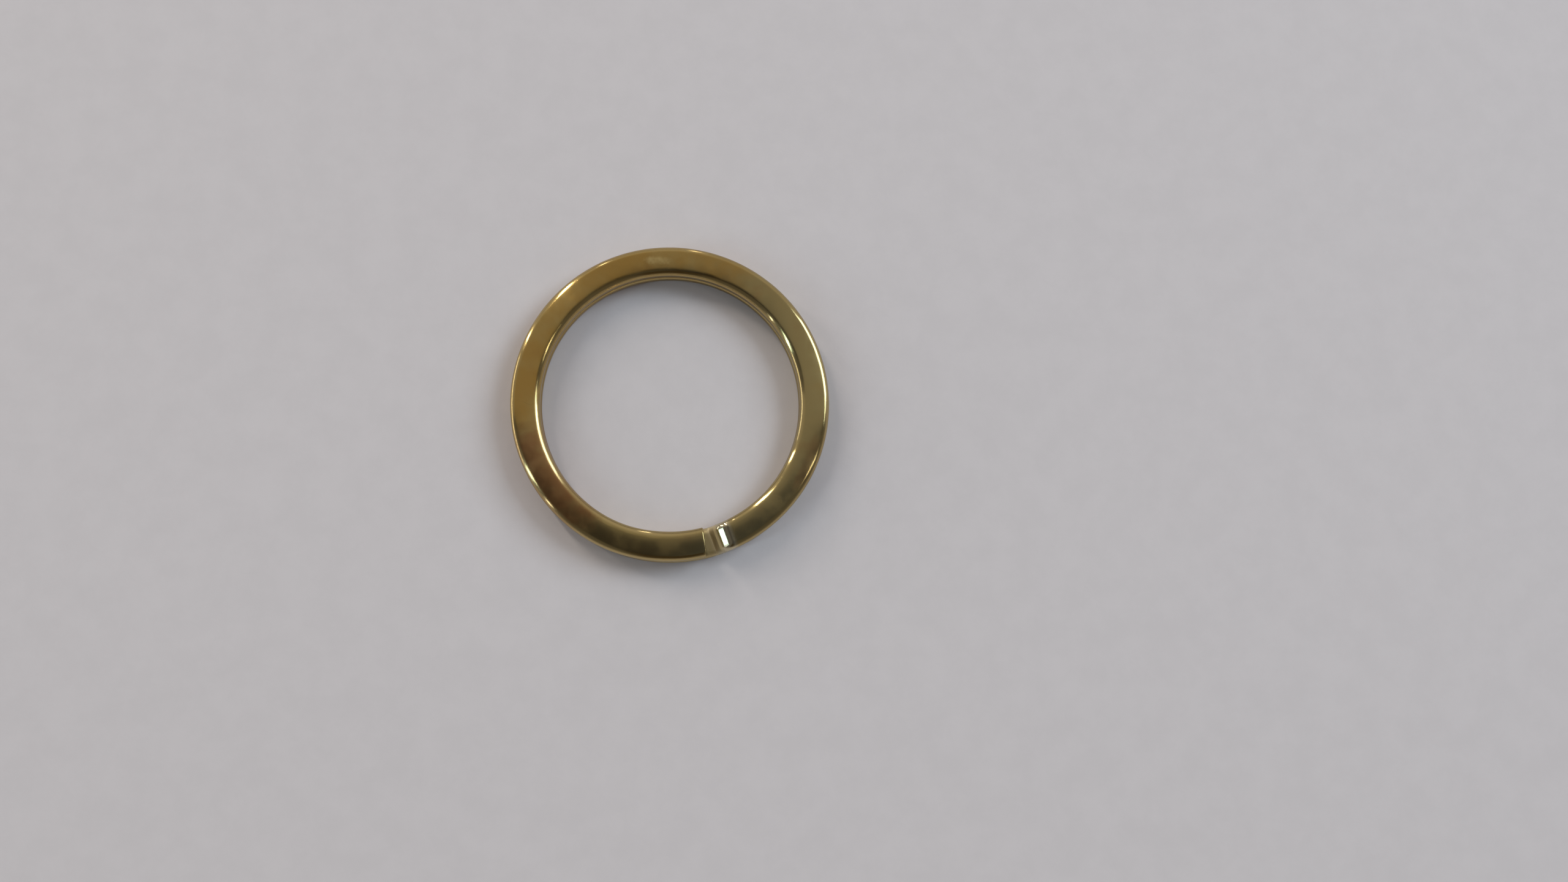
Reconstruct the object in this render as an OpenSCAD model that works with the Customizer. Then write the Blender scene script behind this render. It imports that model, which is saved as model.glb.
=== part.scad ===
// Flat split ring for a bag or strap, in millimetres.
//
// One length of flat wire with rounded edges is wound two turns. Both turns
// are level, and the upper one lies on the lower one. Where the wire steps
// down from the upper turn to the lower one, it has a pressed joggle: two
// bends with a short slope between them. The wire's two cut ends stand just
// off the joggle, the upper turn's at its foot and the lower turn's under its
// head.
//
// The ring lies flat, with its axis on Z and its underside on z = 0.

/* [Ring] */
// Outside diameter of the ring
ring_d = 35; // [25:0.5:60]
// Play between the two turns where they lie on each other
turn_play = 0.03; // [0.02:0.01:0.2]

/* [Wire] */
// Width of the flat wire, measured across the ring's face
wire_w = 3.24; // [2:0.02:4.5]
// Thickness of the flat wire, which is the height of one turn
wire_t = 1.7; // [1.4:0.05:2.4]
// Radius of the wire's four rounded edges
edge_r = 0.65; // [0.2:0.05:0.65]

/* [Joggle] */
// Direction of the joggle's middle, seen from above, in degrees from +X
joggle_dir = -69; // [-180:1:180]
// Steepest slope of the joggle, between its two bends, in degrees
joggle_slope = 60; // [45:1:65]
// Radius of the joggle's two bends, on the hollow side of the wire
joggle_bend_r = 0.2; // [0.15:0.05:0.5]
// Depth by which the press draws the wire in, all round, along the joggle
press_draw = 0.02; // [0.01:0.01:0.1]

/* [Cut ends] */
// Gap along the wire between the joggle's foot and the cut end that faces it
end_gap = 0.85; // [0.8:0.05:4]
// Angle by which each end is cut away from square, in degrees
cut_skew = 8; // [-15:1:15]

/* [Hidden] */

// Facets in one rounded edge of the wire, in one bend, and round the ring
EDGE_STEPS = 6;
BEND_STEPS = 10;
RING_STEPS = 180;

// Level lengths of the pressed wire at each end: bare, and inside the turn
bare_l = 0.1;
root_l = 0.4;

// The wire's centre line, the bore, and the heights of one turn above the next
centre_r = (ring_d - wire_w) / 2;
bore_r = ring_d / 2 - wire_w;
turn_pitch = wire_t + turn_play;
ring_h = turn_pitch + wire_t;

// The joggle seen from the side is two equal bends with a straight slope that
// makes up the rest of the step. Bends too large for the step have no straight
// part, and meet at a lower slope.
bend_r = joggle_bend_r + wire_t / 2;
slope = min(joggle_slope, acos(1 - turn_pitch / (2 * bend_r)));
straight_l = (turn_pitch - 2 * bend_r * (1 - cos(slope))) / sin(slope);
half_run = bend_r * sin(slope) + straight_l * cos(slope) / 2;

// The angles round the ring, from the joggle's middle, at which the upper turn
// starts and at which it is cut
start_angle = asin((half_run + bare_l) / bore_r);
end_angle = arc_angle(half_run + end_gap);

// How far from the joggle's middle the pressed wire's roots reach
root_end = ring_d / 2 * sin(start_angle) + root_l;

// The angle round the ring that a length of the centre line takes up
function arc_angle(length) = length / centre_r * 180 / PI;

// The centres of the four rounded edges, about the wire's own centre
function edge_centres() =
    let (x = wire_w / 2 - edge_r, y = wire_t / 2 - edge_r)
    [[x, y], [-x, y], [-x, -y], [x, -y]];

// The pressed wire's section as [across, up] points about its centre
function pressed_section() =
    [for (edge = [0:3], step = [0:EDGE_STEPS])
        let (a = 90 * (edge + step / EDGE_STEPS))
        edge_centres()[edge] + (edge_r - press_draw) * [cos(a), sin(a)]];

// A place on the joggle's centre line, as [along, up, slope] from its middle.
// side is -1 on the foot's bend and 1 on the head's, and a is the slope there.
function bend_place(side, a) = [
    side * (half_run - bend_r * sin(a)),
    side * (turn_pitch / 2 - bend_r * (1 - cos(a))),
    a
];

// The places from foot to head: a root in the lower turn, the two bends with
// the straight slope between them, and a root in the upper turn
function joggle_places() = concat(
    [[-root_end, -turn_pitch / 2, 0]],
    [for (step = [0:BEND_STEPS]) bend_place(-1, slope * step / BEND_STEPS)],
    [for (step = [BEND_STEPS:-1:0]) bend_place(1, slope * step / BEND_STEPS)],
    [[root_end, turn_pitch / 2, 0]]
);

// The wire's section set square to one place of the joggle. A straight press
// makes the bends, so that they lie across the ring and all parallel.
function section_at(place) =
    [for (p = pressed_section())
        let (r = centre_r + p.x, a = asin((place[0] - p.y * sin(place[2])) / r))
        [r * cos(a), r * sin(a), place[1] + p.y * cos(place[2])]];

// Closed skin through rings of equally many points, in order from foot to head
module skin(rings) {
    n = len(rings[0]);
    last = (len(rings) - 1) * n;
    sides = [for (i = [0:n:last - n], j = [0:n - 1])
        let (a = i + j, b = i + (j + 1) % n)
        each [[a, b, a + n], [b, b + n, a + n]]];
    foot = [for (j = [n - 1:-1:0]) j];
    head = [for (j = [0:n - 1]) last + j];
    polyhedron(points = [for (ring = rings) each ring], faces = concat([foot], sides, [head]));
}

// The wire's section, a flat rectangle with four rounded edges
module wire_section() {
    square([wire_w - 2 * edge_r, wire_t], center = true);
    square([wire_w, wire_t - 2 * edge_r], center = true);
    for (centre = edge_centres())
        translate(centre)
            circle(r = edge_r, $fn = 4 * EDGE_STEPS);
}

// The step between the turns
module joggle() {
    skin([for (place = joggle_places()) section_at(place)]);
}

// The upper turn, from the joggle's head round to the cut end at its foot
module upper_turn() {
    difference() {
        rotate_extrude(
            start = start_angle,
            angle = 360 - start_angle - end_angle + arc_angle(end_gap / 2),
            $fn = RING_STEPS
        )
            translate([centre_r, turn_pitch / 2])
                wire_section();
        rotate([0, 0, -end_angle])
            translate([centre_r, 0, 0])
                rotate([0, 0, -cut_skew])
                    translate([-wire_w, 0, 0])
                        cube([2 * wire_w, end_gap, turn_pitch + wire_t]);
    }
}

// The lower turn is the upper one turned over about the joggle's middle
module lower_turn() {
    rotate([180, 0, 0])
        upper_turn();
}

module split_ring() {
    color("#8C7644")
        translate([0, 0, ring_h / 2])
            rotate([0, 0, joggle_dir]) {
                joggle();
                upper_turn();
                lower_turn();
            }
}

split_ring();
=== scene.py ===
"""A flat split ring of brass wire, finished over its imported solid.

The wire's skin is one surface worked out from two lengths: the way along the wire, and the
way round its section. The brass is procedural, and reads the piece's own coordinates and
attributes. A pale floor, soft lamps and the camera complete the scene. Lengths are in metres.
"""

import logging
import math
from dataclasses import dataclass
from enum import Enum

import bpy
import numpy as np
from mathutils import Matrix, Vector


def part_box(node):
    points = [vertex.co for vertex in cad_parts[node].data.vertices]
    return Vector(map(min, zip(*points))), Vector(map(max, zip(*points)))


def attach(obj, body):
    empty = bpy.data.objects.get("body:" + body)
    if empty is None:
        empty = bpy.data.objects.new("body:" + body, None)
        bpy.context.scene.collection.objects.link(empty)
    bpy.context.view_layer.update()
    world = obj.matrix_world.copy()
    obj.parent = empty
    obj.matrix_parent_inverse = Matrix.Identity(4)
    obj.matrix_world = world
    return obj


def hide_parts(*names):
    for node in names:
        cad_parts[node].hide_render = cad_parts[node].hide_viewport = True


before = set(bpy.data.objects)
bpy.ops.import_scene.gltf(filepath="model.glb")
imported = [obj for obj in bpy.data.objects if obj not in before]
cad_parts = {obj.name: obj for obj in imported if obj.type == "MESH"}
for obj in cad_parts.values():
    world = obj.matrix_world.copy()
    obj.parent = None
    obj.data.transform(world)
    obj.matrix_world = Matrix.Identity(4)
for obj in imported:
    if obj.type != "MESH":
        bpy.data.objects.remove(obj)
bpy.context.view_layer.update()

logging.basicConfig(level=logging.INFO, format="%(message)s")
log = logging.getLogger("split_ring")

MM = 0.001

Colour = tuple[float, float, float, float]
Triple = tuple[float, float, float]
Pair = tuple[float, float]
Span = tuple[float, float]
Socket = bpy.types.NodeSocket


class Skin(Enum):
    """The finishes of the ring, in the order of its material slots."""

    BRASS = 0
    CUT = 1


def smooth_step(low: float, high: float, x: np.ndarray) -> np.ndarray:
    """Rise smoothly from 0 at low to 1 at high, as 3t^2 - 2t^3 of the share t of the way.

    Args:
        low: Place where the rise starts.
        high: Place where the rise ends.
        x: Places to work out.

    Returns:
        The rise at each place, from 0 to 1.
    """
    t = np.clip((x - low) / (high - low), 0.0, 1.0)
    return t * t * (3.0 - 2.0 * t)


@dataclass(frozen=True)
class WireSection:
    """Section of the flat wire: a rectangle with rounded edges and faintly crowned faces."""

    width: float = 3.24 * MM
    thickness: float = 1.7 * MM
    edge_radius: float = 0.65 * MM
    face_crown: float = 0.07 * MM
    side_crown: float = 0.02 * MM
    edge_steps: int = 11
    face_steps: int = 10
    side_steps: int = 4

    def outline(self) -> tuple[np.ndarray, np.ndarray]:
        """Points round the section, anticlockwise from the outer side, and how rounded each is.

        Each corner is a quarter circle, and each side is a straight run to the next corner.
        Then every height shrinks by the face's crown times the square of the share across,
        and every width by the side's crown times the square of the share up, so that each
        side bulges by its crown at its middle.

        Returns:
            Points as [across, up] rows, and the share of roundness of each: 1 in the middle
            of a rounded edge, 0 on the faces.
        """
        half_w, half_t, r = self.width / 2, self.thickness / 2, self.edge_radius
        signs = np.array([[1, 1], [-1, 1], [-1, -1], [1, -1]], float)
        centres = signs * [half_w - r, half_t - r]
        points, round_share = [], []
        for quarter in range(4):
            share = np.linspace(0.0, 1.0, self.edge_steps + 1)
            a = (quarter + share) * math.pi / 2
            arc = centres[quarter] + r * np.stack([np.cos(a), np.sin(a)], 1)
            next_a = (quarter + 1) * math.pi / 2
            start = centres[(quarter + 1) % 4] + r * np.array([math.cos(next_a), math.sin(next_a)])
            steps = self.face_steps if quarter % 2 == 0 else self.side_steps
            t = np.linspace(0.0, 1.0, steps + 1)[1:-1, None]
            points += [arc, arc[-1] + (start - arc[-1]) * t]
            round_share += [np.sin(share * math.pi), np.zeros(steps - 1)]
        flat = np.concatenate(points)
        across, up = flat[:, 0] / half_w, flat[:, 1] / half_t
        crowned = flat.copy()
        crowned[:, 0] *= 1.0 - self.side_crown / half_w * up**2
        crowned[:, 1] *= 1.0 - self.face_crown / half_t * across**2
        return crowned, np.concatenate(round_share)


@dataclass(frozen=True)
class WirePath:
    """Centre line of the wire: two level turns, and the joggle that steps between them.

    Lengths along it run from the joggle's middle, positive round the upper turn and negative
    round the lower one.
    """

    radius: float = 15.866 * MM
    pitch: float = 1.725 * MM
    slope: float = math.radians(60.0)
    bend: float = 1.05 * MM
    end_gap: float = 0.85 * MM
    joggle_turn: float = math.radians(-69)
    level_step: float = 0.25 * MM
    joggle_step: float = 0.03 * MM

    @property
    def bend_run(self) -> float:
        """Run of one bend."""
        return self.bend * math.sin(self.slope)

    @property
    def half_run(self) -> float:
        """Run of half the joggle: one bend and half the straight slope."""
        straight_rise = self.pitch - 2 * self.bend * (1 - math.cos(self.slope))
        return self.bend_run + straight_rise / math.tan(self.slope) / 2

    @property
    def end(self) -> float:
        """Length from the joggle's middle to either cut end."""
        return 2 * math.pi * self.radius - self.half_run - self.end_gap

    def stations(self) -> np.ndarray:
        """Lengths of the sections, closest in the joggle.

        Returns:
            Lengths from the lower cut end to the upper one.
        """
        near = self.half_run + 2 * self.joggle_step
        level = np.linspace(near, self.end, round((self.end - near) / self.level_step) + 1)
        middle = np.linspace(-near, near, round(2 * near / self.joggle_step) + 1)
        return np.concatenate([-level[:0:-1], middle, level[1:]])

    def height(self, s: np.ndarray) -> tuple[np.ndarray, np.ndarray]:
        """Height and slope of the centre line at some lengths.

        Counted in from where the joggle starts, the run is R sin a on a bend of radius R, so
        the step there is R (1 - cos a). Past the bend the step grows by the steepest slope.

        Args:
            s: Lengths from the joggle's middle.

        Returns:
            Heights from the middle of the two turns, and slopes in radians.
        """
        run = np.clip(self.half_run - np.abs(s), 0.0, None)
        slope = np.arcsin(np.minimum(run, self.bend_run) / self.bend)
        beyond = np.clip(run - self.bend_run, 0.0, None)
        step = self.bend * (1 - np.cos(slope)) + beyond * math.tan(self.slope)
        return np.sign(s) * (self.pitch / 2 - step), slope


@dataclass(frozen=True)
class Lean:
    """A place where the wire's top face leans towards the bore, or away if the angle is minus."""

    place: float
    width: float
    angle: float

    def at(self, s: np.ndarray) -> np.ndarray:
        """Lean at some lengths, as a bell curve about the place, in radians."""
        return self.angle * np.exp(-(((s - self.place) / self.width) ** 2))


@dataclass(frozen=True)
class Wander:
    """Small faults of a hand-wound ring, which break up the straight lines of light on it.

    The free upper end is sprung in over its last length. The centre line sways, and the
    rounded edges ripple, as sums of waves.
    """

    spring_in: float = 0.1 * MM
    spring_length: float = 11.0 * MM
    leans: tuple[Lean, ...] = (
        Lean(place=45.0 * MM, width=17.0 * MM, angle=math.radians(1.3)),
        Lean(place=87.0 * MM, width=8.0 * MM, angle=math.radians(-0.8)),
    )
    sway: float = 0.02 * MM
    sway_waves: tuple[float, ...] = (47 * MM, 31 * MM, 19 * MM)
    ripple: float = 0.004 * MM
    ripple_waves: tuple[float, ...] = (5.3 * MM, 2.9 * MM, 1.7 * MM)
    seed: int = 11

    def waves(self, s: np.ndarray, lengths: tuple[float, ...], rows: int) -> np.ndarray:
        """Sum of sine waves of the given lengths along the wire, with seeded phases.

        Args:
            s: Lengths along the wire.
            lengths: Wave lengths.
            rows: How many independent sums to make.

        Returns:
            Sums between -1 and 1, one row each.
        """
        phase = np.random.default_rng(self.seed).uniform(0, 2 * math.pi, (rows, len(lengths), 1))
        turns = 2 * math.pi * s / np.array(lengths)[:, None]
        return np.sin(turns + phase).mean(axis=1)

    def shift(self, s: np.ndarray, end: float) -> np.ndarray:
        """How far outwards the wire strays, from its sway and its sprung end.

        Args:
            s: Lengths along the wire.
            end: Length at the upper cut end.

        Returns:
            The distance outwards at each length.
        """
        sprung = smooth_step(end - self.spring_length, end - self.spring_length / 3, s)
        return self.sway * self.waves(s, self.sway_waves, 1)[0] - self.spring_in * sprung

    def corner_swell(self, s: np.ndarray) -> np.ndarray:
        """How far each of the four rounded edges swells out at some lengths, a row each."""
        return self.ripple * self.waves(s, self.ripple_waves, 4)

    def lean(self, s: np.ndarray) -> np.ndarray:
        """Lean of the top face towards the bore at some lengths, in radians."""
        return sum(lean.at(s) for lean in self.leans)


@dataclass(frozen=True)
class CutEnd:
    """Cut end of the wire: its skew, and the worn edge between the skin and the cut's face.

    least_worn and bore_worn are sizes of the worn edge in bevels: everywhere, and added
    towards the bore. face_sizes are the rings of points over the cut's face.
    """

    skew: float = math.radians(8.0)
    skew_length: float = 1.5 * MM
    bevel: float = 0.07 * MM
    bevel_room: float = 0.21 * MM
    bevel_steps: int = 6
    least_worn: float = 0.5
    bore_worn: float = 1.6
    worn_span: Span = (-0.3, 0.5)
    face_sizes: tuple[float, ...] = (0.8, 0.5, 0.2, 0.02)

    def bevel_at(self, to_bore: np.ndarray) -> np.ndarray:
        """Size of the worn edge, which grows with the share of the way towards the bore."""
        worn = smooth_step(*self.worn_span, to_bore)
        return self.bevel * (self.least_worn + self.bore_worn * worn)


@dataclass(frozen=True)
class Marks:
    """Where the wire's form and finish change along it.

    Each span is where a change starts and ends. Those named start count from the joggle's
    middle, and those named end from the joggle's end. covered counts from the cut end of the
    other turn, beyond which the wire is hidden. foot_painted_shade is the foot's share of the
    painted shade between the turns, and recess_fade the share of the pale recess coat, which
    paints the hollow's reflection, lost beyond the foot.
    """

    covered: Span = (-0.1 * MM, 0.4 * MM)
    foot_start: Span = (-0.3 * MM, -0.1 * MM)
    foot_end: Span = (-0.2 * MM, 0.1 * MM)
    # Painted shade in the crease at the joggle's foot, as a share of that between the turns.
    foot_painted_shade: float = 0.85
    recess_start: Span = (-0.42 * MM, -0.2 * MM)
    recess_fade: float = 0.5
    press_end: Span = (-0.2 * MM, 0.4 * MM)
    crown_end: Span = (-0.1 * MM, 0.8 * MM)
    straight_end: Span = (0.0, 2.0 * MM)


@dataclass(frozen=True)
class SplitRing:
    """The ring, as one closed skin swept along the wire."""

    section: WireSection = WireSection()
    path: WirePath = WirePath()
    wander: Wander = Wander()
    cut: CutEnd = CutEnd()
    marks: Marks = Marks()
    name: str = "brass_wire"

    def rows(self, across: np.ndarray) -> tuple[np.ndarray, np.ndarray]:
        """Length and size at each point of each ring of points, from end to end.

        The rings at either end shrink in, first round the edge of the cut and then over its
        face. The edge is worn rounder towards the bore.

        Args:
            across: Place of each point of the section across the wire.

        Returns:
            Lengths along the wire, and the share by which each point is drawn in to the
            section's middle, both as rings by points.
        """
        end = self.path.end
        bevel = self.cut.bevel_at(-across / self.section.width * 2)
        a = np.linspace(0.0, math.pi / 2, self.cut.bevel_steps)[:, None]
        edge_s = end - bevel * (1 - np.sin(a))
        edge_size = 1 - bevel / self.section.thickness * 2 * (1 - np.cos(a))
        face_size = edge_size[-1] * np.array(self.cut.face_sizes)[:, None]
        face_s = np.full_like(face_size, end)
        s = self.path.stations()
        s = s[np.abs(s) < end - self.cut.bevel_room][:, None] + 0.0 * across
        lengths = [-face_s[::-1], -edge_s[::-1], s, edge_s, face_s]
        sizes = [face_size[::-1], edge_size[::-1], np.ones_like(s), edge_size, face_size]
        return np.concatenate(lengths), np.concatenate(sizes)

    def past_joggle(self, span: Span, s: np.ndarray) -> np.ndarray:
        """Rise from 0 to 1 over a span that counts outwards from the joggle's end."""
        return smooth_step(self.path.half_run + span[0], self.path.half_run + span[1], s)

    def sections(self, s: np.ndarray, size: np.ndarray) -> np.ndarray:
        """Points of each section about the centre line.

        Each rounded edge swells by its ripple, and the top face leans. In the joggle the
        faces lose their crown under the press.

        Args:
            s: Lengths along the wire, as rings by points.
            size: Share by which each point is drawn in.

        Returns:
            Points as [across, up], as rings by points by two.
        """
        outline, rounded = self.section.outline()
        corner = np.sign(outline) * rounded[:, None] / math.sqrt(2)
        quadrant = (outline[:, 0] < 0) + 2 * (outline[:, 1] < 0)
        swell = self.wander.corner_swell(s.mean(axis=1))[quadrant].T[:, :, None] * corner
        up_share = outline[:, 1] / self.section.thickness * 2
        crown = self.section.face_crown * (outline[:, 0] / self.section.width * 2) ** 2
        level_up = up_share * crown * (1 - self.past_joggle(self.marks.crown_end, np.abs(s)))
        leaning = self.wander.lean(s) * outline[:, 0] * np.clip(up_share, 0.0, 1.0)
        points = size[..., None] * (outline + swell)
        points[..., 1] += size * (level_up + leaning)
        return points

    def surface(self, s: np.ndarray, size: np.ndarray, floor_z: float) -> np.ndarray:
        """Points of the skin.

        The section stands square to the centre line: a point that is x across and y up in it
        lies at radius R + x, at the length s - y sin(slope) along the wire, and at the centre
        line's height plus y cos(slope). Lengths are wrapped round the ring as arcs, except in
        the joggle, which a straight press makes: there they are distances off the radius
        through its middle. Near a cut end the section turns by the skew of the cut.

        Args:
            s: Lengths along the wire, as rings by points.
            size: Share by which each point is drawn in.
            floor_z: Height of the ring's underside.

        Returns:
            Points as an array of rings by points by three.
        """
        across, up = np.moveaxis(self.sections(s, size), -1, 0)
        height, slope = self.path.height(s)
        near_cut = smooth_step(self.path.end - self.cut.skew_length, self.path.end, np.abs(s))
        skew = -np.sign(s) * near_cut * math.tan(self.cut.skew)
        along = s - up * np.sin(slope) + skew * across
        arc = along / self.path.radius
        straight = np.arcsin(np.clip(along / (self.path.radius + across), -1.0, 1.0))
        wound = self.past_joggle(self.marks.straight_end, np.abs(s))
        angle = self.path.joggle_turn + straight + wound * (arc - straight)
        shift = self.wander.shift(s.mean(axis=1), self.path.end)[:, None]
        radius = self.path.radius + across + shift
        middle = floor_z + (self.path.pitch + self.section.thickness) / 2
        z = middle + height + up * np.cos(slope)
        return np.stack([radius * np.cos(angle), radius * np.sin(angle), z], -1)

    def masks(self, s: np.ndarray) -> dict[str, np.ndarray]:
        """Shares of the skin's marks at each point.

        The hollow side of the wire is its upper face before the joggle's middle and its lower
        face after it. It faces the other turn beyond the cut end's gap.

        Args:
            s: Lengths along the wire, as rings by points.

        Returns:
            Name of the attribute to its values: rounded on the edges, between for the painted
            shade between the turns and in the joggle's foot, recess for the pale coat that paints
            the reflection on the hollow side of the joggle and the gap, and pressed where the
            press touched the joggle.
        """
        outline, rounded = self.section.outline()
        hollow = -s * np.sign(outline[:, 1])
        facing = np.clip(np.abs(outline[:, 1]) / self.section.thickness * 2, 0, 1)
        covered = self.past_joggle(self.marks.covered, hollow - self.path.end_gap)
        beyond_foot = self.past_joggle(self.marks.foot_end, hollow)
        foot = smooth_step(*self.marks.foot_start, hollow) * (1 - beyond_foot)
        recess = smooth_step(*self.marks.recess_start, hollow) * (1 - covered)
        recess *= 1 - self.marks.recess_fade * beyond_foot
        return {
            "rounded": np.broadcast_to(rounded, s.shape),
            # Painted shade where the turns face each other and in the crease at the joggle's foot.
            "between": facing * np.maximum(covered, self.marks.foot_painted_shade * foot),
            # A pale coat paints the bright reflection on the joggle's hollow side and in the gap.
            "recess": facing * recess,
            "pressed": 1 - self.past_joggle(self.marks.press_end, np.abs(s)),
        }

    def build(self, floor_z: float) -> bpy.types.Object:
        """Make the ring's object.

        Args:
            floor_z: Height of the ring's underside.

        Returns:
            The object, with its attributes and UV map but no material yet.
        """
        outline, _ = self.section.outline()
        s, size = self.rows(outline[:, 0])
        rings, around = s.shape
        i, j = np.meshgrid(np.arange(rings - 1), np.arange(around), indexing="ij")
        k = (j + 1) % around
        corners = ((i, j), (i + 1, j), (i + 1, k), (i, k))
        quads = np.stack([ring * around + point for ring, point in corners], -1)
        first = np.arange(around)
        loops = np.concatenate([quads.ravel(), first, (rings - 1) * around + first[::-1]])
        totals = np.full((rings - 1) * around, len(corners))
        totals = np.concatenate([totals, [around, around]])
        mesh = bpy.data.meshes.new(self.name)
        mesh.vertices.add(rings * around)
        mesh.vertices.foreach_set("co", self.surface(s, size, floor_z).ravel())
        mesh.loops.add(len(loops))
        mesh.loops.foreach_set("vertex_index", loops)
        mesh.polygons.add(len(totals))
        mesh.polygons.foreach_set("loop_start", np.concatenate([[0], np.cumsum(totals)[:-1]]))
        mesh.polygons.foreach_set("loop_total", totals)
        on_cut = np.arange(rings - 1) < len(self.cut.face_sizes)
        slots = np.where(on_cut | on_cut[::-1], Skin.CUT.value, Skin.BRASS.value)
        caps = [Skin.CUT.value, Skin.CUT.value]
        slots = np.concatenate([np.repeat(slots, around), caps])
        mesh.polygons.foreach_set("material_index", slots)
        mesh.update(calc_edges=True)
        mesh.shade_smooth()

        step = np.linalg.norm(np.roll(outline, -1, 0) - outline, axis=1)
        girth = np.concatenate([[0.0], np.cumsum(step)])
        u = np.stack([s[corner] for corner in corners], -1)
        v = girth[np.stack([j, j, j + 1, j + 1], -1)]
        cap_uv = np.zeros((2 * around, 2))
        uv = np.concatenate([np.stack([u.ravel(), v.ravel()], -1), cap_uv])
        mesh.uv_layers.new(name="along_wire").data.foreach_set("uv", uv.ravel())
        for name, values in self.masks(s).items():
            layer = mesh.attributes.new(name, "FLOAT", "POINT")
            layer.data.foreach_set("value", np.ascontiguousarray(values, np.float32).ravel())
        ring = bpy.data.objects.new(self.name, mesh)
        bpy.context.scene.collection.objects.link(ring)
        return ring


class Graph:
    """A node tree with short calls to add and join nodes.

    Each value that a call takes is either a number or colour, or the socket that feeds it.
    The Mix node has its own sockets for each kind of value: two inputs and an output.
    """

    MIX_COLOURS = (6, 7, 2)
    MIX_NUMBERS = (2, 3, 0)

    def __init__(self, tree: bpy.types.NodeTree) -> None:
        """Start on an empty tree."""
        self.tree = tree
        self.tree.nodes.clear()

    def add(self, kind: str, inputs: dict | None = None, **settings: object) -> bpy.types.Node:
        """Add a node, set it up, and fill or link its inputs.

        Args:
            kind: Name of the node's type, without its ShaderNode or NodeGroup prefix.
            inputs: Input name or index to a value, or to the socket that feeds it.
            **settings: Properties of the node.

        Returns:
            The new node.
        """
        prefix = "" if kind.startswith("NodeGroup") else "ShaderNode"
        node = self.tree.nodes.new(prefix + kind)
        for key, value in settings.items():
            setattr(node, key, value)
        for key, value in (inputs or {}).items():
            if isinstance(value, Socket):
                self.tree.links.new(value, node.inputs[key])
            else:
                node.inputs[key].default_value = value
        return node

    def group(self, tree: bpy.types.NodeTree, **inputs: object) -> Socket:
        """Use a node group, and return its first output."""
        return self.add("Group", inputs, node_tree=tree).outputs[0]

    def calc(self, operation: str, a: object, b: object = 0.0, c: object = 0.0) -> Socket:
        """Work out a Math operation on two or three numbers."""
        return self.add("Math", {0: a, 1: b, 2: c}, operation=operation).outputs[0]

    def vector(self, operation: str, a: object, b: object = (0.0, 0.0, 0.0)) -> Socket:
        """Work out a VectorMath operation that gives a vector."""
        return self.add("VectorMath", {0: a, 1: b}, operation=operation).outputs["Vector"]

    def measure(self, operation: str, a: object, b: object = (0.0, 0.0, 0.0)) -> Socket:
        """Work out a VectorMath operation that gives a number, such as a length."""
        return self.add("VectorMath", {0: a, 1: b}, operation=operation).outputs["Value"]

    def scale(self, vector: Socket, factor: object) -> Socket:
        """Scale a vector by a number."""
        node = self.add("VectorMath", {0: vector, "Scale": factor}, operation="SCALE")
        return node.outputs["Vector"]

    def noise(self, vector: Socket, scale: float, detail: float, rough: float = 0.5) -> Socket:
        """Make noise between 0 and 1, and mostly close to a half."""
        inputs = {"Vector": vector, "Scale": scale, "Detail": detail, "Roughness": rough}
        return self.add("TexNoise", inputs).outputs[0]

    def mix(self, factor: object, a: object, b: object) -> Socket:
        """Mix two colours by a factor."""
        first, second, mixed = self.MIX_COLOURS
        return self.add("Mix", {0: factor, first: a, second: b}, data_type="RGBA").outputs[mixed]

    def blend(self, factor: object, a: object, b: object) -> Socket:
        """Mix two numbers by a factor."""
        first, second, mixed = self.MIX_NUMBERS
        return self.add("Mix", {0: factor, first: a, second: b}).outputs[mixed]

    def remap(self, value: object, span: Span, to: Span = (0.0, 1.0)) -> Socket:
        """Take a number smoothly from one span to another."""
        inputs = {0: value, 1: span[0], 2: span[1], 3: to[0], 4: to[1]}
        return self.add("MapRange", inputs, interpolation_type="SMOOTHSTEP").outputs[0]

    def bump(
        self, height: Socket, distance: float, strength: float = 1.0, over: Socket | None = None,
    ) -> Socket:
        """Turn a height into a normal.

        Args:
            height: Height, where 1 is as deep as the distance.
            distance: Depth of the relief.
            strength: Share of the relief that shows.
            over: Normal that the relief is added to, if not the surface's own.

        Returns:
            The normal.
        """
        node = self.add("Bump", {"Strength": strength, "Distance": distance, "Height": height})
        if over is not None:
            self.tree.links.new(over, node.inputs["Normal"])
        return node.outputs[0]


def new_group(name: str, inputs: dict[str, float | str], output: str) -> Graph:
    """Start a shader node group.

    Args:
        name: Name of the group.
        inputs: Input name to its default number, or to "vector" for a vector input.
        output: Name of the output, which is a number.

    Returns:
        The group's graph, with its input and output nodes left to add.
    """
    tree = bpy.data.node_groups.new(name, "ShaderNodeTree")
    for key, value in inputs.items():
        kind = "NodeSocketVector" if value == "vector" else "NodeSocketFloat"
        socket = tree.interface.new_socket(key, in_out="INPUT", socket_type=kind)
        if value != "vector":
            socket.default_value = value
    tree.interface.new_socket(output, in_out="OUTPUT", socket_type="NodeSocketFloat")
    return Graph(tree)


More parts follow.
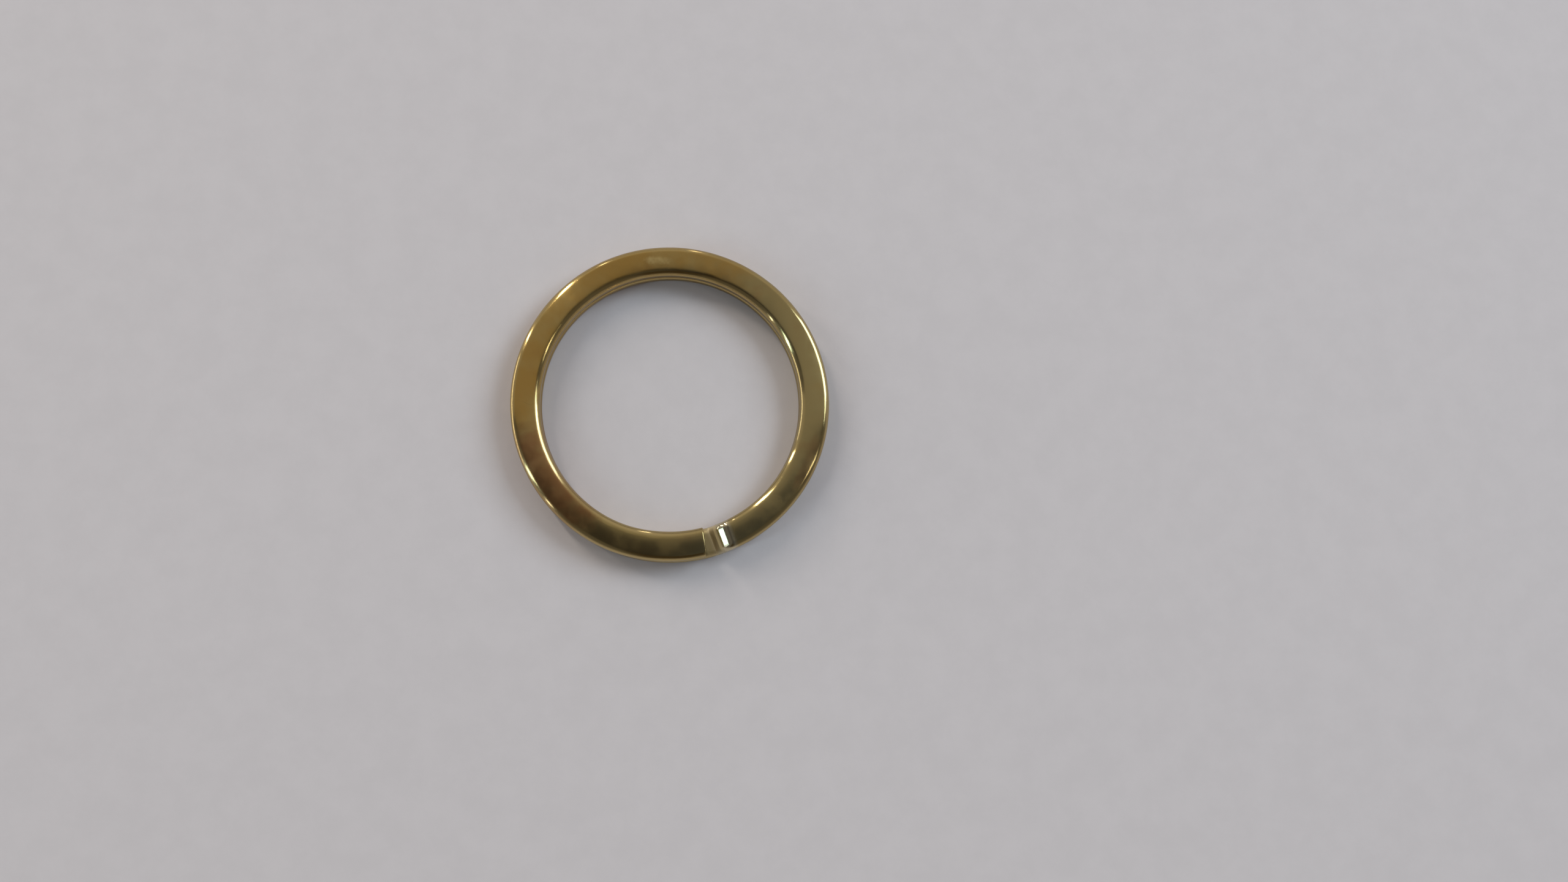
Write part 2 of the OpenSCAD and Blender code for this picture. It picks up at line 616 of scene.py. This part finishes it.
@dataclass(frozen=True)
class HairScratches:
    """Hair scratches, in sets of a turn in radians and a length.

    Space is cut into long thin cells, and a scratch is the core of a cell: a straight stroke
    that tapers at both ends. Only a share of the cells has one.
    """

    sets: tuple[Pair, ...] = ((0.4, 1.0), (1.5, 0.6), (2.5, 1.5))
    thinness: float = 0.03
    core: Span = (0.05, 0.22)

    def group(self) -> bpy.types.NodeTree:
        """Make the node group.

        Returns:
            The group, which gives 1 on a scratch and 0 off it.
        """
        inputs = {"Vector": "vector", "Scale": 1.0, "Share": 0.3}
        graph = new_group("hair_scratches", inputs, "Mask")
        source = graph.add("NodeGroupInput").outputs
        scaled = graph.scale(source["Vector"], source["Scale"])
        total = 0.0
        for turn, length in self.sets:
            inputs = {"Vector": scaled, "Angle": turn}
            turned = graph.add("VectorRotate", inputs, rotation_type="Z_AXIS").outputs[0]
            longer = graph.vector("MULTIPLY", turned, (self.thinness / length, 1.0, 1.0))
            cell = graph.add("TexVoronoi", {"Vector": longer, "Scale": 1.0}).outputs
            chance = graph.add("SeparateColor", {0: cell["Color"]}).outputs[0]
            kept = graph.calc("LESS_THAN", chance, source["Share"])
            stroke = graph.remap(cell["Distance"], self.core, (1.0, 0.0))
            total = graph.calc("MAXIMUM", total, graph.calc("MULTIPLY", stroke, kept))
        graph.add("NodeGroupOutput", {"Mask": total})
        return graph.tree


@dataclass(frozen=True)
class SoftClouds:
    """Soft clouds of colour: broad and fine noise added up, and cut off softly. They shape the
    painted tints and reflections of light on the brass, and its pale patch.
    """

    fine_scale: float = 4.3
    fine_share: float = 0.3
    cut: Span = (0.8, 1.2)

    def group(self) -> bpy.types.NodeTree:
        """Make the node group.

        Returns:
            The group, which gives 1 in a cloud and 0 outside. Coverage moves the cut.
        """
        inputs = {"Vector": "vector", "Scale": 1.0, "Coverage": 0.5}
        graph = new_group("soft_clouds", inputs, "Mask")
        source = graph.add("NodeGroupInput").outputs
        scaled = graph.scale(source["Vector"], source["Scale"])
        broad = graph.noise(scaled, 1.0, detail=3.0)
        fine = graph.noise(scaled, self.fine_scale, detail=4.0, rough=0.6)
        broad_part = graph.calc("MULTIPLY", broad, 1.0 - self.fine_share)
        level = graph.calc("MULTIPLY_ADD", fine, self.fine_share, broad_part)
        covered = graph.calc("ADD", level, source["Coverage"])
        graph.add("NodeGroupOutput", {"Mask": graph.remap(covered, self.cut)})
        return graph.tree


@dataclass(frozen=True)
class Drift:
    """Patches that grow in one direction across the ring."""

    way: Triple
    reach: Span
    coverage: Span

    def spread(self, graph: Graph, place: Socket) -> Socket:
        """Work out the coverage from how far a place lies along the direction.

        Args:
            graph: Node tree to add to.
            place: Place on the piece.

        Returns:
            The coverage.
        """
        along = graph.measure("DOT_PRODUCT", place, self.way)
        return graph.remap(along, self.reach, self.coverage)


@dataclass(frozen=True)
class Patch:
    """Patches that gather round a middle. A small stretch makes the patch long that way."""

    middle: Triple
    reach: Span
    coverage: Span
    stretch: Triple = (1.0, 1.0, 1.0)

    def spread(self, graph: Graph, place: Socket) -> Socket:
        """Work out the coverage from how far a place lies off the middle.

        Args:
            graph: Node tree to add to.
            place: Place on the piece.

        Returns:
            The coverage.
        """
        offset = graph.vector("SUBTRACT", place, self.middle)
        distance = graph.measure("LENGTH", graph.vector("MULTIPLY", offset, self.stretch))
        return graph.remap(distance, self.reach, self.coverage)


@dataclass(frozen=True)
class Mottle:
    """One kind of mottle: its colour, how fine its clouds are, and where it spreads. All but the
    pale patch are painted light.
    """

    colour: Colour
    scale: float
    where: Drift | Patch

    def mask(
        self, graph: Graph, clouds: bpy.types.NodeTree, place: Socket, more: object = 0.0,
    ) -> Socket:
        """Work out the share of the mottle.

        Args:
            graph: Node tree to add to.
            clouds: The group of soft clouds.
            place: Place on the piece.
            more: Coverage to add to the mottle's own.

        Returns:
            The share, from 0 to 1.
        """
        coverage = graph.calc("ADD", self.where.spread(graph, place), more)
        return graph.group(clouds, Vector=place, Scale=self.scale, Coverage=coverage)


@dataclass(frozen=True)
class BrassFinish:
    """Handled brass: bright on its rounded edges, hazier and scratched on its faces, which carry
    painted light.

    Scales are in cycles a metre. The grain spreads each highlight across the wire. Painted tints
    of light lie on the faces: cooler towards the right, warmer towards the upper left. Painted
    reflections of something dark and brown lie on the right and the lower left, and a paler patch
    lies on the top. The pressed joggle is paler and greyer, partly burnished and partly a painted
    tint that whitens its highlight. A pale coat, which isn't metal, paints the reflection on the
    joggle's hollow side, and painted shade lies between the turns and in the joggle's foot.
    Depths are shares of the relief.
    """

    name: str
    colour: Colour = (0.46, 0.345, 0.14, 1.0)
    edge_colour: Colour = (0.50, 0.385, 0.18, 1.0)
    # Paler, greyer brass where pressed: partly burnished, partly a painted tint that whitens the
    # joggle's highlight.
    pressed_burnish_and_sheen: Colour = (0.56, 0.49, 0.33, 1.0)
    # Pale coat, not metal, that paints the reflection on the joggle's hollow side.
    recess_reflection: Colour = (0.56, 0.44, 0.235, 1.0)
    # Painted shade: near black where the turns face each other and in the joggle's foot.
    painted_shade: Colour = (0.10, 0.07, 0.04, 1.0)

    # Painted light: the faces turn cooler and darker olive towards the right, where the cool lamp
    # light falls.
    cool_tint: Mottle = Mottle(
        colour=(0.365, 0.285, 0.128, 1.0),
        scale=120.0,
        where=Drift((1.0, 0.0, 0.0), (-5.0 * MM, 11.0 * MM), (0.25, 0.75)),
    )
    # Painted light: the faces turn warmer towards the upper left, where the warm lamps stand.
    warm_tint: Mottle = Mottle(
        colour=(0.43, 0.265, 0.075, 1.0),
        scale=150.0,
        where=Drift((-0.6, 0.8, 0.0), (-1.0 * MM, 13.0 * MM), (0.25, 0.6)),
    )
    # Painted reflection of something dark and brown, on the lower left of the faces.
    brown_reflection: Mottle = Mottle(
        colour=(0.34, 0.175, 0.07, 1.0),
        scale=255.0,
        where=Patch((-13.4 * MM, -8.4 * MM, 0.0), (2.0 * MM, 11.0 * MM), (0.74, 0.26)),
    )
    # Painted reflection of something dark and brown, on the outer half of the faces on the right.
    dark_reflection: Mottle = Mottle(
        colour=(0.34, 0.23, 0.10, 1.0),
        scale=330.0,
        where=Patch((15.6 * MM, -6.6 * MM, 3.4 * MM), (2.0 * MM, 5.0 * MM), (0.66, 0.2)),
    )
    # A paler patch, long across the ring, on the top face at its far side.
    pale_patch: Mottle = Mottle(
        colour=(0.60, 0.45, 0.19, 1.0),
        scale=900.0,
        where=Patch(
            middle=(-1.8125 * MM, 15.8 * MM, 3.333 * MM),
            reach=(0.1 * MM, 0.9 * MM),
            coverage=(0.58, 0.1),
            stretch=(0.32, 1.0, 0.3),
        ),
    )
    # Where the painted dark reflection spreads over the outer half of the wire.
    dark_reflection_rim: Span = (15.5 * MM, 16.4 * MM)
    dark_reflection_cover: Span = (-0.3, 0.0)
    edge_span: Span = (0.0, 0.8)
    # Share of the painted tints and reflections on the faces and on the edges.
    tint_share: Span = (1.0, 0.35)
    # Where the painted shade starts, and how dark it gets.
    painted_shade_span: Span = (0.55, 1.0)
    painted_shade_share: Span = (0.0, 0.8)
    # How much less metal the pale coat in the recess is.
    recess_coat: float = 0.9

    roughness: float = 0.11
    edge_roughness: float = 0.16
    pressed_roughness: float = 0.14
    recess_roughness: float = 0.45
    haze: float = 0.07
    haze_span: Span = (0.35, 0.7)
    haze_scale: float = 420.0
    brown_roughness: float = 0.05
    scratch_roughness: float = 0.05
    painted_shade_roughness: float = 0.35
    across_grain: float = 0.9
    grain_turn: float = 0.25

    scratch_scale: float = 7000.0
    scratch_share: float = 0.1
    scratch_depth: float = 0.4
    press_scale: float = 2600.0
    press_depth: float = 4.5
    die_lines: Triple = (60.0, 9000.0, 1.0)
    die_depth: float = 0.25
    relief: float = 0.0012 * MM
    wave_scale: float = 520.0
    wave: float = 0.004 * MM

    def material(
        self, scratches: bpy.types.NodeTree, clouds: bpy.types.NodeTree,
    ) -> bpy.types.Material:
        """Make the finish.

        Args:
            scratches: The group of hair scratches.
            clouds: The group of soft clouds.

        Returns:
            The material.
        """
        material = bpy.data.materials.new(self.name)
        material.use_nodes = True
        BrassGraph(material.node_tree, self, scratches, clouds).add_surface()
        return material


class BrassGraph(Graph):
    """The node tree of a brass finish, with the masks that its parts share."""

    def __init__(
        self,
        tree: bpy.types.NodeTree,
        finish: BrassFinish,
        scratches: bpy.types.NodeTree,
        clouds: bpy.types.NodeTree,
    ) -> None:
        """Start on an empty tree, and add the masks.

        Args:
            tree: Node tree of the material.
            finish: The finish to make.
            scratches: The group of hair scratches.
            clouds: The group of soft clouds.
        """
        super().__init__(tree)
        self.finish = finish
        self.clouds = clouds
        self.place = self.add("TexCoord").outputs["Object"]
        self.rounded = self.attribute("rounded")
        self.recess = self.attribute("recess")
        self.pressed = self.attribute("pressed")
        between = self.attribute("between")
        # Mask of the painted shade between the turns and at the joggle's foot.
        self.painted_shade_mask = self.remap(between, finish.painted_shade_span, finish.painted_shade_share)
        # Mask of the painted brown reflection; its roughness is raised there too.
        self.brown_reflection = finish.brown_reflection.mask(self, clouds, self.place)
        self.scratched = self.group(
            scratches, Vector=self.place, Scale=finish.scratch_scale, Share=finish.scratch_share,
        )

    def attribute(self, name: str) -> Socket:
        """Read one of the ring's attributes."""
        return self.add("Attribute", attribute_name=name).outputs["Fac"]

    def tinted(self, colour: Socket, tint: Mottle, mask: Socket, face: Socket) -> Socket:
        """Lay painted light over a colour, by its mask and its share on the faces and edges."""
        return self.mix(self.calc("MULTIPLY", mask, face), colour, tint.colour)

    def colour(self) -> Socket:
        """Lay painted light and shade, the pressed metal, the pale recess coat and the pale patch
        over the brass.

        Returns:
            The colour.
        """
        finish = self.finish
        face = self.remap(self.rounded, finish.edge_span, finish.tint_share)
        off_axis = self.measure("LENGTH", self.vector("MULTIPLY", self.place, (1.0, 1.0, 0.0)))
        rim = self.remap(off_axis, finish.dark_reflection_rim, finish.dark_reflection_cover)
        cool_tint = finish.cool_tint.mask(self, self.clouds, self.place)
        warm_tint = finish.warm_tint.mask(self, self.clouds, self.place)
        dark_reflection = finish.dark_reflection.mask(self, self.clouds, self.place, rim)
        pale_patch = finish.pale_patch.mask(self, self.clouds, self.place)
        colour = self.mix(self.rounded, finish.colour, finish.edge_colour)
        # Painted cool light towards the right.
        colour = self.tinted(colour, finish.cool_tint, cool_tint, face)
        # Pressed joggle: burnished, and tinted paler so its highlight reads white.
        colour = self.mix(self.pressed, colour, finish.pressed_burnish_and_sheen)
        # Pale coat that paints the reflection in the joggle's hollow.
        colour = self.mix(self.recess, colour, finish.recess_reflection)
        # Painted warm light towards the upper left.
        colour = self.tinted(colour, finish.warm_tint, warm_tint, face)
        # Painted brown reflection on the lower left.
        colour = self.tinted(colour, finish.brown_reflection, self.brown_reflection, face)
        # Painted dark reflection on the right.
        colour = self.tinted(colour, finish.dark_reflection, dark_reflection, face)
        # Paler patch on the top face.
        colour = self.mix(pale_patch, colour, finish.pale_patch.colour)
        # Painted shade between the turns and at the joggle's foot.
        return self.mix(self.painted_shade_mask, colour, finish.painted_shade)

    def roughness(self) -> Socket:
        """Add up the haze, the wear, and more roughness where reflections and shade are painted.

        Returns:
            The roughness.
        """
        finish = self.finish
        haze = self.noise(self.place, finish.haze_scale, detail=3.0, rough=0.55)
        hazed = (finish.roughness, finish.roughness + finish.haze)
        rough = self.remap(haze, finish.haze_span, hazed)
        rough = self.blend(self.rounded, rough, finish.edge_roughness)
        rough = self.calc("MULTIPLY_ADD", self.brown_reflection, finish.brown_roughness, rough)
        rough = self.calc("MULTIPLY_ADD", self.scratched, finish.scratch_roughness, rough)
        rough = self.blend(self.pressed, rough, finish.pressed_roughness)
        rough = self.blend(self.recess, rough, finish.recess_roughness)
        return self.calc("MULTIPLY_ADD", self.painted_shade_mask, finish.painted_shade_roughness, rough)

    def normal(self) -> Socket:
        """Lay scratches, press marks and die lines over faint waves.

        Returns:
            The normal.
        """
        finish = self.finish
        along = self.add("UVMap", uv_map="along_wire").outputs[0]
        drawn = self.noise(self.vector("MULTIPLY", along, finish.die_lines), 1.0, detail=2.0)
        marks = self.noise(self.place, finish.press_scale, detail=2.0)
        waves = self.noise(self.place, finish.wave_scale, detail=1.0)
        height = self.calc("MULTIPLY", marks, self.pressed)
        height = self.calc("MULTIPLY", height, finish.press_depth)
        height = self.calc("MULTIPLY_ADD", self.scratched, -finish.scratch_depth, height)
        height = self.calc("MULTIPLY_ADD", drawn, finish.die_depth, height)
        return self.bump(waves, finish.wave, over=self.bump(height, finish.relief))

    def add_surface(self) -> None:
        """Add the shader, whose grain runs along the wire, and the output."""
        grain = self.add("Tangent", direction_type="UV_MAP", uv_map="along_wire")
        shader = self.add("BsdfPrincipled", {
            "Base Color": self.colour(),
            "Roughness": self.roughness(),
            # The pale coat in the recess, which paints its reflection, is not metal.
            "Metallic": self.calc("MULTIPLY_ADD", self.recess, -self.finish.recess_coat, 1.0),
            "Normal": self.normal(),
            "Anisotropic": self.finish.across_grain,
            "Anisotropic Rotation": self.finish.grain_turn,
            "Tangent": grain.outputs[0],
        })
        self.add("OutputMaterial", {"Surface": shader.outputs[0]})


@dataclass(frozen=True)
class PaperFloor:
    """Plain pale paper under the ring, much larger than the view."""

    half_size: float = 1.5
    colour: Colour = (0.605, 0.55, 0.558, 1.0)
    darker: Colour = (0.583825, 0.53075, 0.53847, 1.0)
    roughness: float = 0.85
    tone_scale: float = 260.0
    tone_span: Span = (0.3, 0.7)
    fibre_scale: float = 2200.0
    fibre_depth: float = 0.03 * MM
    fibre_strength: float = 0.3

    def build(self, z: float) -> bpy.types.Object:
        """Make the floor.

        Args:
            z: Height of the floor.

        Returns:
            The floor's object.
        """
        a = self.half_size
        corners = [(-a, -a, z), (a, -a, z), (a, a, z), (-a, a, z)]
        mesh = bpy.data.meshes.new("paper")
        mesh.from_pydata(corners, [], [(0, 1, 2, 3)])
        floor = bpy.data.objects.new("paper", mesh)
        bpy.context.scene.collection.objects.link(floor)
        mesh.materials.append(self.material())
        return floor

    def material(self) -> bpy.types.Material:
        """Make the paper, with a faint unevenness of tone and a fibre grain.

        Returns:
            The material.
        """
        material = bpy.data.materials.new("paper")
        material.use_nodes = True
        graph = Graph(material.node_tree)
        place = graph.add("TexCoord").outputs["Object"]
        tone = graph.noise(place, self.tone_scale, detail=5.0, rough=0.65)
        fibre = graph.noise(place, self.fibre_scale, detail=4.0, rough=0.7)
        shader = graph.add("BsdfPrincipled", {
            "Base Color": graph.mix(graph.remap(tone, self.tone_span), self.darker, self.colour),
            "Roughness": self.roughness,
            "Normal": graph.bump(fibre, self.fibre_depth, self.fibre_strength),
        })
        graph.add("OutputMaterial", {"Surface": shader.outputs[0]})
        return material


@dataclass(frozen=True)
class SoftLamp:
    """A soft lamp, placed by its direction as seen from the ring.

    Angles are in degrees: wide and tall are the lamp's own, as seen from the ring. share is
    the part of the floor's whole light that it gives.
    """

    name: str
    azimuth: float
    zenith: float
    wide: float
    tall: float
    share: float
    colour: Triple = (1.0, 1.0, 1.0)
    distance: float = 1.2

    def side(self, degrees: float) -> float:
        """Length of a side that is seen under an angle."""
        return 2 * self.distance * math.tan(math.radians(degrees) / 2)

    def build(self) -> bpy.types.Object:
        """Make the lamp.

        A lamp of power P at distance d lights the floor by P cos(zenith) / (pi d^2), and the
        floor shows its own colour where that comes to pi.

        Returns:
            The lamp's object.
        """
        azimuth, zenith = math.radians(self.azimuth), math.radians(self.zenith)
        light = bpy.data.lights.new(self.name, "AREA")
        light.shape = "RECTANGLE"
        light.size, light.size_y = self.side(self.wide), self.side(self.tall)
        light.energy = self.share * (math.pi * self.distance) ** 2 / math.cos(zenith)
        light.color = self.colour
        lamp = bpy.data.objects.new(self.name, light)
        flat = Vector((math.cos(azimuth), math.sin(azimuth), 0.0)) * math.sin(zenith)
        lamp.location = self.distance * (flat + Vector((0.0, 0.0, math.cos(zenith))))
        lamp.rotation_euler = lamp.location.to_track_quat("Z", "Y").to_euler()
        bpy.context.scene.collection.objects.link(lamp)
        return lamp


@dataclass(frozen=True)
class StudioRoom:
    """Dim room around the lamps: light behind the ring, dark in front, paler to either side.

    Each span is where one colour gives way to the next, counted along the unit vector of the
    direction. divide is how far back of straight up the light part starts.
    """

    back: Colour = (0.44, 0.42, 0.39, 1.0)
    back_low: Colour = (0.56, 0.53, 0.49, 1.0)
    front: Colour = (0.05, 0.048, 0.052, 1.0)
    front_right: Colour = (0.10, 0.108, 0.125, 1.0)
    front_low: Colour = (0.065, 0.05, 0.03, 1.0)
    flank: Colour = (0.14, 0.135, 0.13, 1.0)
    low: Colour = (0.44, 0.41, 0.395, 1.0)
    divide: float = 0.105
    divide_span: Span = (-0.02, 0.02)
    right_span: Span = (-0.07, 0.07)
    front_low_span: Span = (0.96, 0.82)
    flank_span: Span = (0.12, 0.3)
    back_low_span: Span = (0.35, 0.7)
    low_span: Span = (0.05, 0.5)

    def build(self) -> None:
        """Make the world, whose colour follows the direction it is seen in."""
        world = bpy.data.worlds.new("studio")
        bpy.context.scene.world = world
        world.use_nodes = True
        graph = Graph(world.node_tree)
        way = graph.add("TexCoord").outputs["Generated"]
        right, back, up = graph.add("SeparateXYZ", {0: way}).outputs
        beyond = graph.calc("MULTIPLY_ADD", up, -self.divide, back)
        sideways = graph.calc("ABSOLUTE", right)
        dark = graph.mix(graph.remap(right, self.right_span), self.front, self.front_right)
        dark = graph.mix(graph.remap(up, self.front_low_span), dark, self.front_low)
        dark = graph.mix(graph.remap(sideways, self.flank_span), dark, self.flank)
        light = graph.mix(graph.remap(back, self.back_low_span), self.back, self.back_low)
        high = graph.mix(graph.remap(beyond, self.divide_span), dark, light)
        colour = graph.mix(graph.remap(up, self.low_span), self.low, high)
        background = graph.add("Background", {"Color": colour, "Strength": 1.0})
        graph.add("OutputWorld", {"Surface": background.outputs[0]})


@dataclass(frozen=True)
class ViewCamera:
    """Camera that looks down at the ring, placed by where the ring's top face is in its frame.

    ring_px is that place in the frame, in pixels from its upper left corner. lean and turn
    tip the camera about its own right and up, and depth is the ring's distance in front.
    """

    frame_px: Pair = (2560.0, 1440.0)
    ring_px: Pair = (1095.5, 656.2)
    focal_px: float = 2133.0
    depth: float = 143.1 * MM
    lean: float = math.radians(6.51)
    turn: float = math.radians(-4.40)
    sensor: float = 36.0
    clip_start: float = 0.01

    def build(self, top: Vector) -> bpy.types.Object:
        """Make the camera.

        Args:
            top: Middle of the ring's top face.

        Returns:
            The camera's object, set as the scene's camera.
        """
        data = bpy.data.cameras.new("camera")
        data.sensor_width = self.sensor
        data.lens = self.sensor * self.focal_px / self.frame_px[0]
        data.clip_start = self.clip_start
        camera = bpy.data.objects.new("camera", data)
        turned = Matrix.Rotation(self.turn, 4, "Y") @ Matrix.Rotation(self.lean, 4, "X")
        across = (self.ring_px[0] - self.frame_px[0] / 2) / self.focal_px
        down = (self.ring_px[1] - self.frame_px[1] / 2) / self.focal_px
        ring_at = Vector((across, -down, -1.0)) * self.depth
        camera.matrix_world = Matrix.Translation(top - turned @ ring_at) @ turned
        bpy.context.scene.collection.objects.link(camera)
        bpy.context.scene.camera = camera
        return camera


SKY_BLUE = (0.72, 0.88, 1.0)
DEEP_BLUE = (0.62, 0.88, 1.0)
PALE_BLUE = (0.86, 0.94, 1.0)
PALE_GREEN = (0.95, 1.0, 0.95)
WARM_WHITE = (1.0, 0.94, 0.82)
SOFT_WHITE = (1.0, 0.95, 0.9)

LAMPS = (
    SoftLamp("window", 27, 50, wide=26, tall=30, share=0.34, colour=SKY_BLUE),
    SoftLamp("high_lamp", -9, 31, wide=2, tall=20, share=0.025, colour=PALE_GREEN),
    SoftLamp("left_lamp", -147, 61, wide=2, tall=20, share=0.015, colour=PALE_BLUE),
    SoftLamp("left_panel", -161, 57, wide=4, tall=36, share=0.07, colour=DEEP_BLUE),
    SoftLamp("left_low", 176, 84, wide=40, tall=8, share=0.012),
    SoftLamp("back_tall", 148, 67, wide=2.5, tall=26, share=0.045, colour=WARM_WHITE),
    SoftLamp("back_panel", 127, 52, wide=2.6, tall=34, share=0.15, colour=WARM_WHITE),
    SoftLamp("back_small", 113, 62, wide=1.8, tall=10, share=0.006, colour=SOFT_WHITE),
    SoftLamp("back_low", 83, 76, wide=3, tall=6, share=0.003, colour=SOFT_WHITE),
)

FINISHES = {
    Skin.BRASS: BrassFinish("tumbled_brass"),
    Skin.CUT: BrassFinish(
        "cut_brass", roughness=0.5, edge_roughness=0.24, scratch_share=0.5, across_grain=0.0,
    ),
}


def main() -> None:
    """Build the ring, the floor, the light and the camera, and report each."""
    bpy.context.scene.view_settings.view_transform = "Standard"
    low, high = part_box("split_ring")
    ring = SplitRing().build(low.z)
    scratches, clouds = HairScratches().group(), SoftClouds().group()
    for skin in Skin:
        ring.data.materials.append(FINISHES[skin].material(scratches, clouds))
    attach(ring, "root")
    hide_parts("split_ring")
    log.info("%s: %d faces", ring.name, len(ring.data.polygons))
    floor = PaperFloor().build(low.z)
    log.info("%s: floor at %.4f m", floor.name, low.z)
    StudioRoom().build()
    for lamp in LAMPS:
        log.info("%s: %.2f W", lamp.name, lamp.build().data.energy)
    camera = ViewCamera().build(Vector((0.0, 0.0, high.z)))
    log.info("camera at %s", tuple(round(c, 4) for c in camera.matrix_world.translation))


if __name__ == "__main__":
    main()
